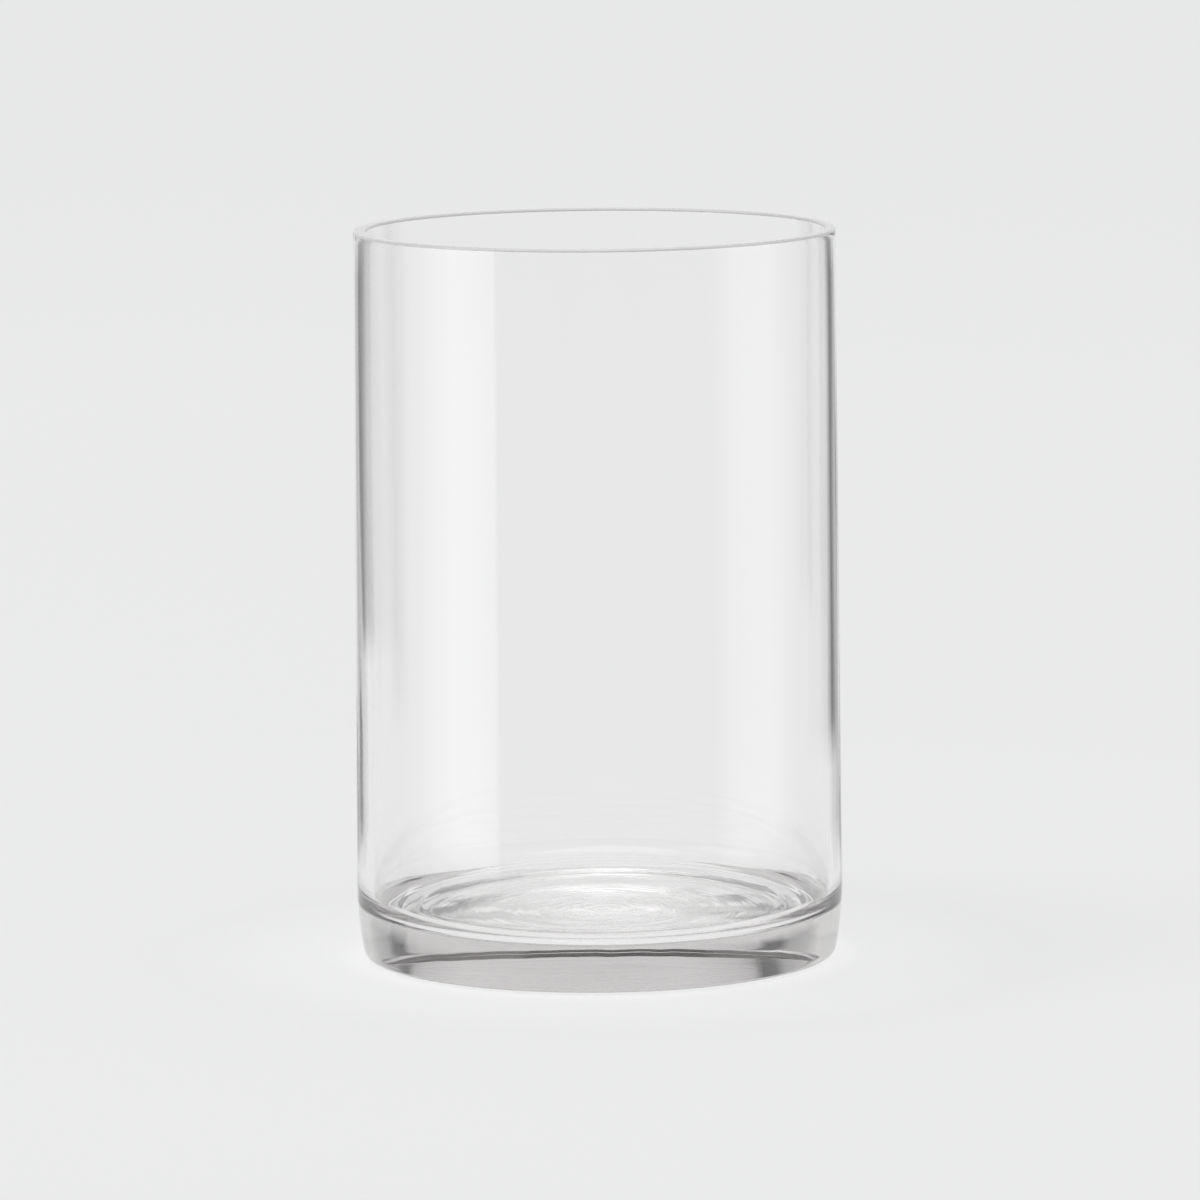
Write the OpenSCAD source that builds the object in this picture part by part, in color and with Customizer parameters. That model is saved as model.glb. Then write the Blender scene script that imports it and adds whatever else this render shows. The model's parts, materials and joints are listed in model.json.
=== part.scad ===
// Glass cylinder vase: a clear, straight-sided cylinder with a ground rim and a thick base.
// The vase is one piece of glass. It is drawn here as the four zones that a glassmaker names,
// from the top down: rim, side wall, heel and base. They meet face to face.
// The origin is at the middle of the ring that the vase stands on, and +Z is up.

/* [Overall] */
// Height from the standing ring to the top of the rim
vase_h = 228.6; // [180:0.2:260]
// Widest outer diameter, just above the heel
vase_d = 152.4; // [140:0.2:170]
// How far the outer radius draws in between the heel and the rim
wall_draw = 1.2; // [0:0.1:2]
// Thickness of the wall at the rim
rim_wall = 3.6; // [3:0.1:6]

/* [Rim] */
// Height of the band that is counted as the rim
rim_h = 6; // [3:0.5:12]
// Radius of the two polished edges of the rim
rim_edge = 0.8; // [0.4:0.1:1.4]

/* [Base] */
// Height of the inside floor above the standing ring
floor_h = 16.5; // [10:0.5:24]
// Radius of the inside corner where the floor meets the wall
floor_fillet = 6.5; // [2:0.5:10]
// How far the outside draws in down the heel, before its corner
heel_draw = 2; // [1:0.1:3]
// Radius of the corner between the heel and the underside
heel_corner = 2; // [1:0.25:3]
// How far the underside rises from the standing ring out to that corner
heel_lift = 0.6; // [0.2:0.1:1.5]
// Outer radius of the flat ring that the vase stands on
ring_r = 64; // [58:0.5:68]
// Width of that ring
ring_w = 6.5; // [4:0.5:10]
// Depth of the hollow inside the standing ring
hollow_depth = 1.5; // [0.5:0.1:3]
// Width of the slope between the standing ring and the hollow
hollow_slope = 2.5; // [1:0.5:6]

/* [Hidden] */
$fn = 128;
arc_steps = 8;

vase_r = vase_d / 2;
rim_r = vase_r - wall_draw;
bore_r = rim_r - rim_wall;
rim_z = vase_h - rim_h;
heel_h = floor_h + floor_fillet;
corner_z = heel_lift + heel_corner;

// The heel is a long arc that leaves the wall upright, then a small corner tangent to it.
sweep_r = ((heel_h - corner_z) ^ 2 + heel_draw ^ 2) / (2 * heel_draw);
sweep_x = vase_r - sweep_r;
corner_r = sweep_x + sqrt((sweep_r - heel_corner) ^ 2 - (heel_h - corner_z) ^ 2);
join_angle = atan2(corner_z - heel_h, corner_r - sweep_x);

// The base is the disc inside the slope of the hollow.
slope_r = ring_r - ring_w;
base_r = slope_r - hollow_slope;

function arc(x, z, r, from, to) = [
    for (i = [0 : arc_steps])
        let (a = from + (to - from) * i / arc_steps)
        [x + r * cos(a), z + r * sin(a)]
];

module turned(outline) rotate_extrude() polygon(outline);

module rim() {
    edge_z = vase_h - rim_edge;
    color("lightcyan", 0.5)
    turned(concat(
        [[bore_r, rim_z], [rim_r, rim_z]],
        arc(rim_r - rim_edge, edge_z, rim_edge, 0, 90),
        arc(bore_r + rim_edge, edge_z, rim_edge, 90, 180)
    ));
}

module side_wall() {
    color("azure", 0.4)
    turned([[bore_r, heel_h], [vase_r, heel_h], [rim_r, rim_z], [bore_r, rim_z]]);
}

module heel() {
    color("lightblue", 0.5)
    turned(concat(
        [[base_r, hollow_depth], [slope_r, 0], [ring_r, 0]],
        arc(corner_r, corner_z, heel_corner, -90, join_angle),
        arc(sweep_x, heel_h, sweep_r, join_angle, 0),
        arc(bore_r - floor_fillet, heel_h, floor_fillet, 0, -90),
        [[base_r, floor_h]]
    ));
}

module base() {
    color("powderblue", 0.5)
    translate([0, 0, hollow_depth]) cylinder(h = floor_h - hollow_depth, r = base_r);
}

rim();
side_wall();
heel();
base();
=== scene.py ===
# %% [markdown]
# # A glass cylinder vase
#
# The real object is one piece of clear glass: a straight wall, a ground rim and a thick base.
# The frame holds it as four solids, because the design names its zones. Glass can't be shown
# that way: light would bend and mirror at every face between two zones. So this lesson turns
# one closed skin of glass, takes every size from the frame, and lets it stand for all four.

import json
import math

import bpy
from mathutils import Matrix, Vector, noise


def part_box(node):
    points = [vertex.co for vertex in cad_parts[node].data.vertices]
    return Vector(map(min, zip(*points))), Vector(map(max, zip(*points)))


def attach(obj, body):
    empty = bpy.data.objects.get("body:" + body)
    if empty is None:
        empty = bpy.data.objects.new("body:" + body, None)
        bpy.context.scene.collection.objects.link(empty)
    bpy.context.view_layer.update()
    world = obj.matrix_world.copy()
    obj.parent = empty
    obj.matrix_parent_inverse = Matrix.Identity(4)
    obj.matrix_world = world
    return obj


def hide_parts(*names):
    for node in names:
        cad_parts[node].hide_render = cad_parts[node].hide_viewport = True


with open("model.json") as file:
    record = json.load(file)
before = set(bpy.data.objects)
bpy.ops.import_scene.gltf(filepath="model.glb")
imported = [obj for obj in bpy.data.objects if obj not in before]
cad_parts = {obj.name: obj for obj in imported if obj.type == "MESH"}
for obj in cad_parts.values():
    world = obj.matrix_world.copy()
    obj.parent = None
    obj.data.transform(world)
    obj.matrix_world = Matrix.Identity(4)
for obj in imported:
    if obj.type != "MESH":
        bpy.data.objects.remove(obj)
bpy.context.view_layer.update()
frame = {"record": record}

_, rim_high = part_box("rim")
_, heel_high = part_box("heel")
base_low, base_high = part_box("base")
mounts = {m["name"]: m for m in frame["record"]["mounts"]}

HEIGHT = rim_high[2]
WIDEST_R = heel_high[0]
RIM_R = rim_high[0]
BORE_R = mounts["interior"]["dims"]["r_mm"] / 1000
HEEL_H = heel_high[2]
FLOOR_H = base_high[2]
HOLLOW_H = base_low[2]
BASE_R = base_high[0]
print("height", round(HEIGHT, 4), "widest radius", round(WIDEST_R, 4), "bore radius", round(BORE_R, 4))
print("floor height", round(FLOOR_H, 4), "heel height", round(HEEL_H, 4), "hollow", round(HOLLOW_H, 4))

# %% [markdown]
# ## The camera
#
# A long lens from about two and a half metres, a little above the rim, keeps the wall's two
# edges almost parallel. The small roll is the one a hand-levelled tripod leaves.

# %% Camera
CAM_BACK = 2.446
CAM_UP = 0.4446
CAM_TILT = math.radians(7.745)
CAM_ROLL = math.radians(0.505)
CAM_PAN = math.radians(-0.02)
CAM_LENS = 236.8

camera = bpy.data.objects.new("camera", bpy.data.cameras.new("camera"))
bpy.context.scene.collection.objects.link(camera)
camera.data.lens = CAM_LENS
camera.data.sensor_width = 36
camera.data.clip_end = 100
aim = Matrix.Rotation(CAM_PAN, 4, "Z") @ Matrix.Rotation(math.pi / 2 - CAM_TILT, 4, "X")
camera.matrix_world = (
    Matrix.Translation((0, -CAM_BACK, CAM_UP)) @ aim @ Matrix.Rotation(-CAM_ROLL, 4, "Z")
)
bpy.context.scene.camera = camera
print("camera", round(CAM_BACK, 2), "m back, lens", CAM_LENS)

# %% [markdown]
# ## The outline of the glass
#
# A glass vase is a turned shape, so its skin is one outline spun round the axis. It could also
# be a cylinder with a second one cut out of it, but then every rounded edge would need a bevel.
# An outline gives each edge its own curve. It starts under the middle of the base, runs out to
# the standing ring, up the heel and the wall, over the rim, down the bore and in to the middle
# of the floor.

# %% Outline helpers
def line(start, end, steps):
    """Points from start towards end, without end itself."""
    return [
        (start[0] + (end[0] - start[0]) * i / steps, start[1] + (end[1] - start[1]) * i / steps)
        for i in range(steps)
    ]


def arc(x, z, r, a0, a1, steps):
    """Points on a round corner, from angle a0 towards a1 in degrees, without the last."""
    angles = [math.radians(a0 + (a1 - a0) * i / steps) for i in range(steps)]
    return [(x + r * math.cos(a), z + r * math.sin(a)) for a in angles]


# %% [markdown]
# ### Underside and heel
#
# The vase stands on a narrow ring, because a hollow underside can't rock. Outside the ring the
# underside lifts a little, then a small corner runs into the long curve of the heel.

# %% Underside and heel
HOLLOW_SLOPE = 0.0025
RING_W = 0.0065
HEEL_DRAW = 0.002
HEEL_LIFT = 0.0006
HEEL_CORNER = 0.002
PIN = 0.0003

slope_r = BASE_R + HOLLOW_SLOPE
ring_r = slope_r + RING_W
corner_z = HEEL_LIFT + HEEL_CORNER
sweep_r = ((HEEL_H - corner_z) ** 2 + HEEL_DRAW**2) / (2 * HEEL_DRAW)
sweep_x = WIDEST_R - sweep_r
corner_r = sweep_x + math.sqrt((sweep_r - HEEL_CORNER) ** 2 - (HEEL_H - corner_z) ** 2)
join = math.degrees(math.atan2(corner_z - HEEL_H, corner_r - sweep_x))

underside = (
    line((PIN, HOLLOW_H), (BASE_R, HOLLOW_H), 110)
    + line((BASE_R, HOLLOW_H), (slope_r, 0), 6)
    + line((slope_r, 0), (ring_r, 0), 8)
)
outside = (
    line((ring_r, 0), (corner_r, HEEL_LIFT), 8)
    + arc(corner_r, corner_z, HEEL_CORNER, -90, join, 12)
    + arc(sweep_x, HEEL_H, sweep_r, join, 0, 18)
)
print("standing ring", round(slope_r, 4), "to", round(ring_r, 4))

# %% [markdown]
# ### Wall, rim, bore and floor
#
# The rim is cut flat, ground and polished, which leaves two small round edges. Inside, a wide
# corner joins the bore to the floor, as molten glass doesn't fill a sharp one.

# %% Wall, rim, bore and floor
RIM_EDGE = 0.0008
fillet = HEEL_H - FLOOR_H

outside += line((WIDEST_R, HEEL_H), (RIM_R, HEIGHT - RIM_EDGE), 90)
outside += arc(RIM_R - RIM_EDGE, HEIGHT - RIM_EDGE, RIM_EDGE, 0, 90, 8)
rim_top = line((RIM_R - RIM_EDGE, HEIGHT), (BORE_R + RIM_EDGE, HEIGHT), 6)
inside = (
    arc(BORE_R + RIM_EDGE, HEIGHT - RIM_EDGE, RIM_EDGE, 90, 180, 8)
    + line((BORE_R, HEIGHT - RIM_EDGE), (BORE_R, HEEL_H), 90)
    + arc(BORE_R - fillet, HEEL_H, fillet, 0, -90, 20)
    + line((BORE_R - fillet, FLOOR_H), (PIN, FLOOR_H), 80)
)
print("outline points", len(underside) + len(outside) + len(rim_top) + len(inside))

# %% [markdown]
# ## Hand-made unevenness
#
# Perfect glass looks like a drawing. A blown bore sits a little off the middle, bellies and
# ripples, and the wall keeps faint upright waves from the mould. The inside floor settles with a
# slight tilt, and keeps a shallow ring and a swirl. The underside keeps the rings of the gather.
# A noise modifier would shake all of the skin in the same way, so each zone gets its own small
# push here. Apart from the tilt, all of them are fractions of a millimetre.

# %% Unevenness
MM = 0.001
BORE_OFF = 0.35 * MM
BORE_BELLY = 0.35 * MM
BORE_WAVE = 0.22 * MM
BORE_RIPPLE = 0.03 * MM
WALL_WAVE = 0.05 * MM
WALL_RIPPLE = 0.012 * MM
HEEL_RIPPLE = 0.012 * MM
FLOOR_TILT = math.radians(1.5)
FLOOR_WAVE = 0.08 * MM
FLOOR_SWIRL = 0.025 * MM
CHANNEL_FROM = 57.5 * MM
CHANNEL_TO = 63.8 * MM
CHANNEL_DEPTH = 0.5 * MM
UNDER_WAVE = 0.25 * MM
UNDER_RING = 0.13 * MM
GATHER_R = 40 * MM
GATHER_EDGE = 3 * MM

# Each grain is its scale round the axis, its scale up and its seed.
WALL_GRAIN = (2.5, 6, 3.1)
WALL_FINE_GRAIN = (16, 5, 8.7)
HEEL_GRAIN = (16, 90, 5.5)
BORE_GRAIN = (1.3, 9, 20.4)
BORE_FINE_GRAIN = (11, 8, 31.9)
CHANNEL_GRAIN = (1.2, 10, 2.0)
CHANNEL_WOBBLE = 0.4 * MM
FLOOR_SPOTS, FLOOR_SEED = 28, 4.4
UNDER_SPOTS, UNDER_SEED = 80, 9.2
SWIRL_RINGS, SWIRL_TURNS = 420, 1.2
FLOOR_SWIRL_SEED, UNDER_SWIRL_SEED = 50.0, 0.0


def soft(a, b, x):
    """0 below a, 1 above b, and a smooth rise between them."""
    t = min(max((x - a) / (b - a), 0), 1)
    return t * t * (3 - 2 * t)


def around(a, z, grain):
    """Noise that closes on itself round the axis."""
    scale, scale_up, seed = grain
    return noise.noise(Vector((scale * math.cos(a), scale * math.sin(a), scale_up * z + seed)))


def spotted(a, r, scale, seed):
    """Noise over a flat face, at angle a and radius r."""
    return noise.noise(Vector((r * math.cos(a) * scale, r * math.sin(a) * scale, seed)))


def wall_push(a, z):
    fade = soft(0.0, 0.02, z) * (1 - soft(HEIGHT - 0.008, HEIGHT, z))
    low = soft(0.002, 0.006, z) * (1 - soft(HEEL_H - 0.006, HEEL_H + 0.004, z))
    wave = WALL_WAVE * around(a, z, WALL_GRAIN) + WALL_RIPPLE * around(a, z, WALL_FINE_GRAIN)
    return fade * wave + low * HEEL_RIPPLE * around(a, z, HEEL_GRAIN)


def bore_push(a, z):
    up = (z - HEEL_H) / (HEIGHT - HEEL_H)
    fade = soft(HEEL_H, HEEL_H + 0.03, z) * (1 - 0.7 * soft(HEIGHT - 0.02, HEIGHT, z))
    belly = BORE_BELLY * math.sin(math.pi * min(max(up, 0), 1))
    wave = BORE_WAVE * around(a, z, BORE_GRAIN) + BORE_RIPPLE * around(a, z, BORE_FINE_GRAIN)
    return fade * (belly + wave)


def swirl(a, r, seed):
    """Uneven rings round the axis, strongest inside the gather."""
    place = (r * SWIRL_RINGS + seed, SWIRL_TURNS * math.cos(a), SWIRL_TURNS * math.sin(a))
    fine = noise.noise(Vector(place))
    return fine * (1 - 0.75 * soft(GATHER_R - GATHER_EDGE, GATHER_R + GATHER_EDGE, r))


def floor_lift(a, r):
    fade = 1 - soft(BORE_R - 1.6 * fillet, BORE_R - fillet, r)
    wobble = CHANNEL_WOBBLE * around(a, r, CHANNEL_GRAIN)
    edge_in = soft(CHANNEL_FROM - 0.7 * MM, CHANNEL_FROM + 0.5 * MM, r + wobble)
    edge_out = 1 - soft(CHANNEL_TO - 0.6 * MM, CHANNEL_TO + 0.6 * MM, r + wobble)
    wave = FLOOR_WAVE * spotted(a, r, FLOOR_SPOTS, FLOOR_SEED)
    lift = fade * (wave + FLOOR_SWIRL * swirl(a, r, FLOOR_SWIRL_SEED))
    return lift - CHANNEL_DEPTH * edge_in * edge_out


def under_lift(a, r):
    fade = 1 - soft(BASE_R - 0.006, BASE_R, r)
    wave = UNDER_WAVE * spotted(a, r, UNDER_SPOTS, UNDER_SEED)
    return fade * (wave + UNDER_RING * swirl(a, r, UNDER_SWIRL_SEED))


# %% [markdown]
# ## One closed skin
#
# The outline goes round the axis in steps. The script writes the points itself, where a screw
# modifier could spin them, because it pushes each point by its zone and its angle. A single
# point at each end of the axis closes the skin, so light meets glass only at a real surface.

# %% Spin the outline
SEGMENTS = 256
zones = ["under"] * len(underside) + ["wall"] * len(outside)
zones += ["top"] * len(rim_top) + ["inside"] * len(inside)
outline = underside + outside + rim_top + inside


def pushed(index, a):
    """The place of outline point number index at angle a, with its zone's push."""
    r, z = outline[index]
    zone = zones[index]
    off = 0.0
    if zone == "under":
        z += under_lift(a, r)
    elif zone == "wall":
        r += wall_push(a, z)
    elif zone == "top":
        off = BORE_OFF * (RIM_R - RIM_EDGE - r) / (RIM_R - BORE_R - 2 * RIM_EDGE)
    else:
        off = BORE_OFF
        tilt = math.tan(FLOOR_TILT) * r * math.sin(a) * (1 - soft(FLOOR_H, HEEL_H + 0.02, z))
        if z > HEEL_H:
            r += bore_push(a, z)
        elif r < BORE_R - fillet + 1e-6:
            z += floor_lift(a, r)
        z += tilt
    return (r * math.cos(a) + off, r * math.sin(a), z)


verts = [(0, 0, outline[0][1])]
for index in range(len(outline)):
    verts += [pushed(index, 2 * math.pi * s / SEGMENTS) for s in range(SEGMENTS)]
verts.append((BORE_OFF, 0, verts[-1][2]))
verts[0] = (0, 0, verts[1][2])

faces = []
face_zones = []
last = len(verts) - 1
for s in range(SEGMENTS):
    t = (s + 1) % SEGMENTS
    faces.append((0, 1 + t, 1 + s))
    face_zones.append("under")
    for k in range(len(outline) - 1):
        a = 1 + k * SEGMENTS
        faces.append((a + s, a + t, a + SEGMENTS + t, a + SEGMENTS + s))
        face_zones.append(zones[k])
    a = 1 + (len(outline) - 1) * SEGMENTS
    faces.append((a + s, a + t, last))
    face_zones.append("inside")

mesh = bpy.data.meshes.new("vase_glass")
mesh.from_pydata(verts, [], faces)
mesh.update()
mesh.polygons.foreach_set("use_smooth", [True] * len(mesh.polygons))
vase = bpy.data.objects.new("vase_glass", mesh)
bpy.context.scene.collection.objects.link(vase)
print("vase faces", len(faces))

# %% [markdown]
# ## Handling marks
#
# Glass that has been handled isn't optically clean. Faint wipe marks and dust scatter a little
# light, and the mould leaves fine upright lines. The wall takes both from this effect, the rim
# takes the lines and the underside takes the wipe marks, so it is one node group with a value
# for its strength.

# %% Handling marks
WIPE_SCALE = 22.0
HAZE_MOST = 0.05
DRAW_SCALE = (70.0, 70.0, 3.0)


def handling_marks():
    group = bpy.data.node_groups.new("handling_marks", "ShaderNodeTree")
    face = group.interface
    face.new_socket("Strength", in_out="INPUT", socket_type="NodeSocketFloat").default_value = 1.0
    face.new_socket("Roughness", in_out="OUTPUT", socket_type="NodeSocketFloat")
    face.new_socket("Height", in_out="OUTPUT", socket_type="NodeSocketFloat")
    new, link = group.nodes.new, group.links.new
    entry, leave = new("NodeGroupInput"), new("NodeGroupOutput")
    coords = new("ShaderNodeTexCoord")

    wipes = new("ShaderNodeTexNoise")
    wipes.inputs["Scale"].default_value = WIPE_SCALE
    wipes.inputs["Detail"].default_value = 5.0
    wipes.inputs["Distortion"].default_value = 1.4
    link(coords.outputs["Object"], wipes.inputs["Vector"])
    haze = new("ShaderNodeMapRange")
    haze.inputs["From Min"].default_value = 0.52
    haze.inputs["From Max"].default_value = 0.80
    haze.inputs["To Max"].default_value = HAZE_MOST
    link(wipes.outputs["Fac"], haze.inputs["Value"])
    rough = new("ShaderNodeMath")
    rough.operation = "MULTIPLY"
    link(haze.outputs["Result"], rough.inputs[0])
    link(entry.outputs["Strength"], rough.inputs[1])
    link(rough.outputs[0], leave.inputs["Roughness"])

    stretch = new("ShaderNodeMapping")
    stretch.inputs["Scale"].default_value = DRAW_SCALE
    link(coords.outputs["Object"], stretch.inputs["Vector"])
    draw = new("ShaderNodeTexNoise")
    draw.inputs["Scale"].default_value = 1.0
    draw.inputs["Detail"].default_value = 2.0
    link(stretch.outputs["Vector"], draw.inputs["Vector"])
    height = new("ShaderNodeMath")
    height.operation = "MULTIPLY"
    link(draw.outputs["Fac"], height.inputs[0])
    link(entry.outputs["Strength"], height.inputs[1])
    link(height.outputs[0], leave.inputs["Height"])
    return group


marks = handling_marks()
print("group", marks.name, "with", len(marks.nodes), "nodes")

# %% [markdown]
# ## Glass
#
# Soda-lime glass bends light by 1.52. Its makers clear its green tint with a trace of another
# oxide, which leaves a faint warm grey that shows only where the glass is thick. The tint could
# be in the surface colour, but then thin and thick glass would look alike. As absorption inside
# the glass, it deepens along each ray.

# %% Glass
GLASS_IOR = 1.52
TINT = (0.80, 0.785, 0.785, 1.0)
TINT_DENSITY = 12.0
CLEAR_MARKS, CLEAR_RELIEF = 0.5, 0.00003


def glass(name, strength, bump):
    """Clear glass with the shared handling marks, and the nodes to build on."""
    material = bpy.data.materials.new(name)
    material.use_nodes = True
    tree = material.node_tree
    shader = tree.nodes["Principled BSDF"]
    shader.inputs["Base Color"].default_value = (1, 1, 1, 1)
    shader.inputs["IOR"].default_value = GLASS_IOR
    shader.inputs["Transmission Weight"].default_value = 1.0
    tint = tree.nodes.new("ShaderNodeVolumeAbsorption")
    tint.inputs["Color"].default_value = TINT
    tint.inputs["Density"].default_value = TINT_DENSITY
    tree.links.new(tint.outputs["Volume"], tree.nodes["Material Output"].inputs["Volume"])
    used = tree.nodes.new("ShaderNodeGroup")
    used.node_tree = marks
    used.inputs["Strength"].default_value = strength
    tree.links.new(used.outputs["Roughness"], shader.inputs["Roughness"])
    relief = tree.nodes.new("ShaderNodeBump")
    relief.inputs["Distance"].default_value = bump
    relief.inputs["Strength"].default_value = 1.0
    tree.links.new(used.outputs["Height"], relief.inputs["Height"])
    tree.links.new(relief.outputs["Normal"], shader.inputs["Normal"])
    return material, shader, relief


clear_glass = glass("clear_glass", CLEAR_MARKS, CLEAR_RELIEF)[0]
print("material", clear_glass.name)

# %% [markdown]
# ### The ground rim
#
# A rim that was ground and flame-polished isn't quite as glossy as the wall: it keeps a fine
# satin grain. The grain scatters part of the light where the wall would bend it, and that turns
# the rim pale grey. More roughness alone would trap the light in the wall and turn the rim black.

# %% Rim glass
RIM_MARKS, RIM_RELIEF = 1.0, 0.00002
RIM_COLOUR = (0.95, 0.955, 0.953, 1)
RIM_CLEARNESS = 0.42
GRAIN_SCALE = 900.0
SATIN_LEAST, SATIN_MOST = 0.10, 0.25

rim_glass, shader, _ = glass("rim_glass", RIM_MARKS, RIM_RELIEF)
tree = rim_glass.node_tree
grain = tree.nodes.new("ShaderNodeTexNoise")
grain.inputs["Scale"].default_value = GRAIN_SCALE
satin = tree.nodes.new("ShaderNodeMapRange")
satin.inputs["To Min"].default_value = SATIN_LEAST
satin.inputs["To Max"].default_value = SATIN_MOST
place = tree.nodes.new("ShaderNodeTexCoord")
tree.links.new(place.outputs["Object"], grain.inputs["Vector"])
tree.links.new(grain.outputs["Fac"], satin.inputs["Value"])
tree.links.new(satin.outputs["Result"], shader.inputs["Roughness"])
shader.inputs["Base Color"].default_value = RIM_COLOUR
shader.inputs["Transmission Weight"].default_value = RIM_CLEARNESS
print("material", rim_glass.name)

# %% [markdown]
# ### The underside
#
# The underside keeps the swirl of the gather: fine streaks that run round the axis. They follow
# the radius closely and the angle only slowly, so noise is read at a place made of the radius
# and the direction. Using the angle itself would leave a seam behind the vase.

# %% Underside glass
UNDER_MARKS, SWIRL_HEIGHT = 1.0, 0.00012
STREAK_RINGS, STREAK_TURNS = 900.0, 3.0

under_glass, _, relief = glass("under_glass", UNDER_MARKS, SWIRL_HEIGHT)
new, link = under_glass.node_tree.nodes.new, under_glass.node_tree.links.new
place = new("ShaderNodeTexCoord")
flat = new("ShaderNodeVectorMath")
flat.operation = "MULTIPLY"
flat.inputs[1].default_value = (1, 1, 0)
radius = new("ShaderNodeVectorMath")
radius.operation = "LENGTH"
heading = new("ShaderNodeVectorMath")
heading.operation = "NORMALIZE"
link(place.outputs["Object"], flat.inputs[0])
link(flat.outputs["Vector"], radius.inputs[0])
link(flat.outputs["Vector"], heading.inputs[0])
rings = new("ShaderNodeMath")
rings.operation = "MULTIPLY"
rings.inputs[1].default_value = STREAK_RINGS
link(radius.outputs["Value"], rings.inputs[0])
turn = new("ShaderNodeVectorMath")
turn.operation = "SCALE"
turn.inputs["Scale"].default_value = STREAK_TURNS
link(heading.outputs["Vector"], turn.inputs[0])
parts = new("ShaderNodeSeparateXYZ")
join_up = new("ShaderNodeCombineXYZ")
link(turn.outputs["Vector"], parts.inputs[0])
link(parts.outputs["X"], join_up.inputs["X"])
link(parts.outputs["Y"], join_up.inputs["Y"])
link(rings.outputs[0], join_up.inputs["Z"])
streaks = new("ShaderNodeTexNoise")
streaks.inputs["Scale"].default_value = 1.0
streaks.inputs["Detail"].default_value = 4.0
link(join_up.outputs["Vector"], streaks.inputs["Vector"])
link(streaks.outputs["Fac"], relief.inputs["Height"])
print("material", under_glass.name)

# %% [markdown]
# ### The skin gets its finishes
#
# Every face takes the finish of its zone. The two round edges of the rim are turned with the
# wall and the bore, but they were ground with the top, so they are picked out by their height.

# %% Dress the skin
for material in (clear_glass, rim_glass, under_glass):
    mesh.materials.append(material)
finish_of = {"wall": 0, "inside": 0, "top": 1, "under": 2}
finishes = [finish_of[zone] for zone in face_zones]
for face in mesh.polygons:
    if face.center.z > HEIGHT - RIM_EDGE:
        finishes[face.index] = 1
mesh.polygons.foreach_set("material_index", finishes)
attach(vase, "root")
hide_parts("rim", "side_wall", "heel", "base")
print("the skin stands for the rim, side wall, heel and base")

# %% [markdown]
# ## The stage
#
# Clear glass shows nothing but what is round it, so the stage matters as much as the vase. A
# wide pale sheet is the floor, and an even pale sky continues it, brighter overhead. The sheet is
# milky and glows, as on a studio's light table, and its glow is painted brighter under the vase
# and round its foot: a painted pool of light that fills the vase's shadow there. A plain sheet
# would hold a dark shadow under the thick glass, and the base would turn grey.

# %% Floor
def fill_ramp(ramp, stops):
    """Give a colour ramp pale, slightly cool greys from (position, value) stops."""
    while len(ramp.elements) < len(stops):
        ramp.elements.new(0.5)
    for element, (position, value) in zip(ramp.elements, stops):
        element.position = position
        element.color = (value, value * 1.006, value * 1.003, 1)


FLOOR_RADIUS = 14.0
FLOOR_CORNERS = 64
FLOOR_GAP = 0.00005
PAPER = 0.3
PAPER_GLOW = 0.62
PAINTED_POOL_REACH = 1.6
# Painted light: these stops make the glow brightest under the vase and round its foot, a painted pool
# of light in the vase's shadow.
PAINTED_POOL_STOPS = [(0.0, 1.45), (0.036, 1.35), (0.052, 0.97), (0.085, 0.86), (0.3, 0.84), (1.0, 0.876)]
floor_mesh = bpy.data.meshes.new("floor")
turns = [2 * math.pi * i / FLOOR_CORNERS for i in range(FLOOR_CORNERS)]
edge = [(FLOOR_RADIUS * math.cos(a), FLOOR_RADIUS * math.sin(a), 0) for a in turns]
floor_mesh.from_pydata(edge, [], [tuple(range(FLOOR_CORNERS))])
floor = bpy.data.objects.new("floor", floor_mesh)
bpy.context.scene.collection.objects.link(floor)
floor.location.z = -FLOOR_GAP
paper = bpy.data.materials.new("floor_paper_painted_pool")
paper.use_nodes = True
sheet = paper.node_tree.nodes["Principled BSDF"]
sheet.inputs["Base Color"].default_value = (PAPER, PAPER * 1.006, PAPER * 1.003, 1)
sheet.inputs["Roughness"].default_value = 0.9
sheet.inputs["Specular IOR Level"].default_value = 0.0
sheet.inputs["Emission Strength"].default_value = PAPER_GLOW
new, link = paper.node_tree.nodes.new, paper.node_tree.links.new
place, reach = new("ShaderNodeTexCoord"), new("ShaderNodeVectorMath")
reach.operation = "LENGTH"
share = new("ShaderNodeMath")
share.operation = "DIVIDE"
share.inputs[1].default_value = PAINTED_POOL_REACH
# The glow colour follows the distance from the axis, which paints the pool of light under the vase.
glow = new("ShaderNodeValToRGB")
link(place.outputs["Object"], reach.inputs[0])
link(reach.outputs["Value"], share.inputs[0])
link(share.outputs[0], glow.inputs["Fac"])
link(glow.outputs["Color"], sheet.inputs["Emission Color"])
fill_ramp(glow.color_ramp, PAINTED_POOL_STOPS)
floor.data.materials.append(paper)
print("floor radius", FLOOR_RADIUS)

# %% Sky
SKY = [(0.0, 0.82), (0.17, 0.84), (0.30, 0.8), (0.5, 0.7), (0.75, 0.75), (0.9, 1.0), (1.0, 1.1)]
world = bpy.data.worlds.new("studio")
bpy.context.scene.world = world
world.use_nodes = True
nodes, links = world.node_tree.nodes, world.node_tree.links
coords = nodes.new("ShaderNodeTexCoord")
split = nodes.new("ShaderNodeSeparateXYZ")
ramp = nodes.new("ShaderNodeValToRGB")
links.new(coords.outputs["Generated"], split.inputs[0])
links.new(split.outputs["Z"], ramp.inputs["Fac"])
links.new(ramp.outputs["Color"], nodes["Background"].inputs["Color"])
fill_ramp(ramp.color_ramp, SKY)
print("sky stops", len(SKY))

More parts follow.
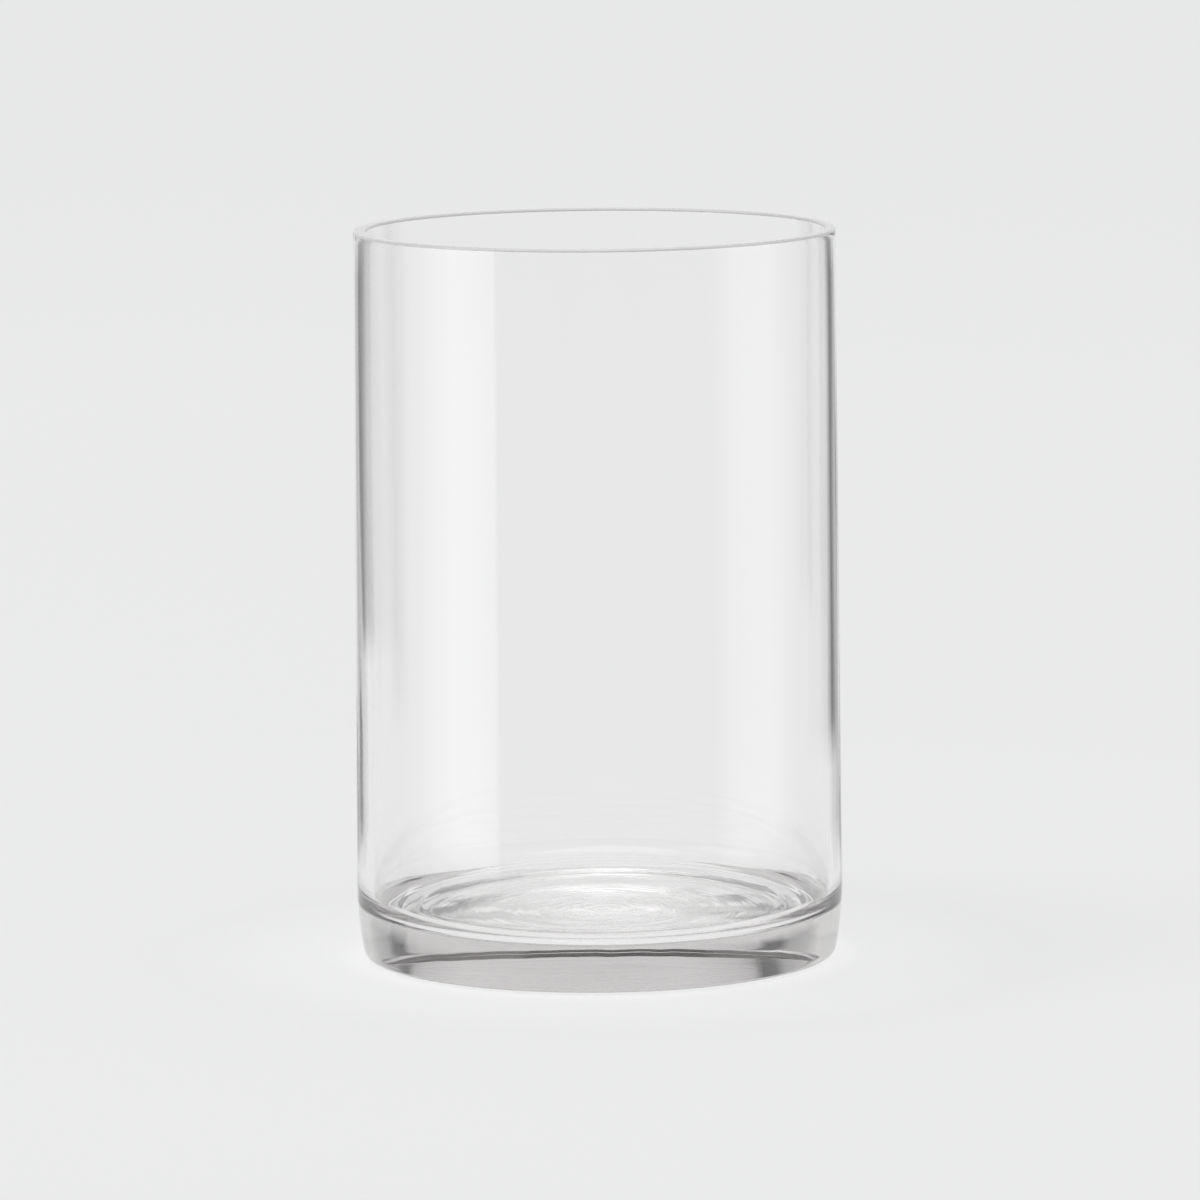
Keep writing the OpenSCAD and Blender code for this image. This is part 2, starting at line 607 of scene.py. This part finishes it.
# %% [markdown]
# ## Two softboxes
#
# One large softbox, far off on the left, gives the soft shadow beside the foot. It is weak: the
# sky does most of the work, as a light tent would. A second one hangs over the vase. Its light
# goes straight down through the floor of the vase and adds a little sparkle there.

# %% Softboxes
KEY_PLACE, KEY_SIZE, KEY_POWER = (-3.0, -0.6, 2.6), 2.2, 16
TOP_PLACE, TOP_SIZE, TOP_POWER = (-0.1, -0.15, 1.5), 0.9, 3.0


def softbox(name, place, size, power):
    """A square lamp that points at the vase's foot."""
    data = bpy.data.lights.new(name, "AREA")
    data.size = size
    data.energy = power
    lamp = bpy.data.objects.new(name, data)
    bpy.context.scene.collection.objects.link(lamp)
    lamp.location = place
    lamp.rotation_euler = Vector(place).to_track_quat("Z", "Y").to_euler()
    lamp.visible_camera = False
    return lamp


key = softbox("key_softbox", KEY_PLACE, KEY_SIZE, KEY_POWER)
top = softbox("top_softbox", TOP_PLACE, TOP_SIZE, TOP_POWER)
print("softboxes", key.name, top.name)

# %% [markdown]
# ## Cards round the glass
#
# In a studio, cards draw the shape of a glass. White ones in front, left and right, are seen
# only as long soft reflections on the wall. Black ones behind it, out of sight, are seen only
# through the bent light at the wall's edges, and turn them dark. Two small black ones closer by
# are seen only in reflection, and carry those edges down to the foot. Each card is a curved sheet
# that stands on the floor. Its edges fade out, which a lamp's edges can't do.

# %% A card with soft edges
CARD_FOOT = 0.018


def card(name, radius, stops, high, fade, material):
    """A curved card. Stops are (degrees from +Y, strength), fade is its soft top."""
    points, strength, card_faces = [], [], []
    levels = [(0, 0), (CARD_FOOT, 1), (high - fade, 1), (high, 0)]
    for degrees, value in stops:
        a = math.radians(degrees)
        for z, part in levels:
            points.append((radius * math.sin(a), radius * math.cos(a), z))
            strength.append(value * part)
    rows = len(levels)
    for i in range(len(stops) - 1):
        for k in range(rows - 1):
            j = i * rows + k
            card_faces.append((j, j + rows, j + rows + 1, j + 1))
    card_mesh = bpy.data.meshes.new(name)
    card_mesh.from_pydata(points, [], card_faces)
    shade = card_mesh.attributes.new("strength", "FLOAT", "POINT")
    shade.data.foreach_set("value", strength)
    piece = bpy.data.objects.new(name, card_mesh)
    bpy.context.scene.collection.objects.link(piece)
    card_mesh.materials.append(material)
    piece.visible_camera = False
    piece.visible_diffuse = False
    piece.visible_shadow = False
    piece.visible_volume_scatter = False
    return piece


def card_stuff(name, colour, glow):
    """Card that fades out with its strength, black felt or glowing white silk."""
    material = bpy.data.materials.new(name)
    material.use_nodes = True
    tree = material.node_tree
    shader = tree.nodes["Principled BSDF"]
    shader.inputs["Base Color"].default_value = (0, 0, 0, 1)
    shader.inputs["Specular IOR Level"].default_value = 0.0
    shader.inputs["Emission Color"].default_value = (*colour, 1)
    shader.inputs["Emission Strength"].default_value = glow
    shade = tree.nodes.new("ShaderNodeAttribute")
    shade.attribute_name = "strength"
    tree.links.new(shade.outputs["Fac"], shader.inputs["Alpha"])
    return material


# %% White reflections
SILK_GLOW = 3.0
silk = card_stuff("silk", (1.0, 1.0, 1.0), SILK_GLOW)
SILK_R = 0.25
SILK_HIGH, SILK_FADE = 0.36, 0.05
LEFT_STOPS = [(-140, 0), (-138, 0.75), (-131, 0.95), (-119, 1.0), (-110, 0.7), (-100, 0.25), (-89, 0)]
RIGHT_STOPS = [(132, 0), (124, 0.45), (115.5, 0.6), (102, 0.55), (92.5, 0.2), (85, 0)]
white_cards = [
    card("left_silk", SILK_R, LEFT_STOPS, SILK_HIGH, SILK_FADE, silk),
    card("right_silk", SILK_R, RIGHT_STOPS, SILK_HIGH, SILK_FADE, silk),
]
for piece in white_cards:
    piece.visible_transmission = False
print("white cards", len(white_cards))

# %% Black flags
FELT_GREY = 0.10
RIGHT_FLAG_R = 0.36
LEFT_FLAG_R = 0.62
EDGE_FLAG_R = 0.2
FLAG_HIGH, FLAG_FADE = 0.3, 0.03
EDGE_FLAG_HIGH, EDGE_FLAG_FADE = 0.22, 0.02
felt = card_stuff("felt", (1.0, 1.0, 1.0), FELT_GREY)
FLAG_STOPS = [(14, 0), (18, 0.08), (23, 0.18), (27, 0.35), (29.5, 0.9)]
FLAG_STOPS += [(33.5, 0.9), (37, 0.5), (45, 0.35), (52, 0)]
right_stops = [(degrees + 5, value) for degrees, value in FLAG_STOPS]
left_stops = [(1.5 - degrees, value) for degrees, value in FLAG_STOPS]
flags = [
    card("right_flag", RIGHT_FLAG_R, right_stops, FLAG_HIGH, FLAG_FADE, felt),
    card("left_flag", LEFT_FLAG_R, left_stops, FLAG_HIGH, FLAG_FADE, felt),
]
for piece in flags:
    piece.visible_glossy = False
EDGE_STOPS = [(36, 0), (41, 0.8), (54, 0.8), (60, 0)]
mirrored = [(-degrees, value) for degrees, value in EDGE_STOPS]
edge_flags = [
    card("right_edge_flag", EDGE_FLAG_R, EDGE_STOPS, EDGE_FLAG_HIGH, EDGE_FLAG_FADE, felt),
    card("left_edge_flag", EDGE_FLAG_R, mirrored, EDGE_FLAG_HIGH, EDGE_FLAG_FADE, felt),
]
for piece in edge_flags:
    piece.visible_transmission = False
print("flags", len(flags) + len(edge_flags))

# %% [markdown]
# ## How the light is worked out
#
# A ray that enters the thick base can bounce inside it many times. If the render stops it too
# early, the base turns black, so it gets more bounces than usual.

# %% Light paths
BOUNCES = 24
scene = bpy.context.scene
scene.view_settings.view_transform = "Standard"
scene.cycles.max_bounces = BOUNCES
scene.cycles.transmission_bounces = BOUNCES
scene.cycles.glossy_bounces = BOUNCES
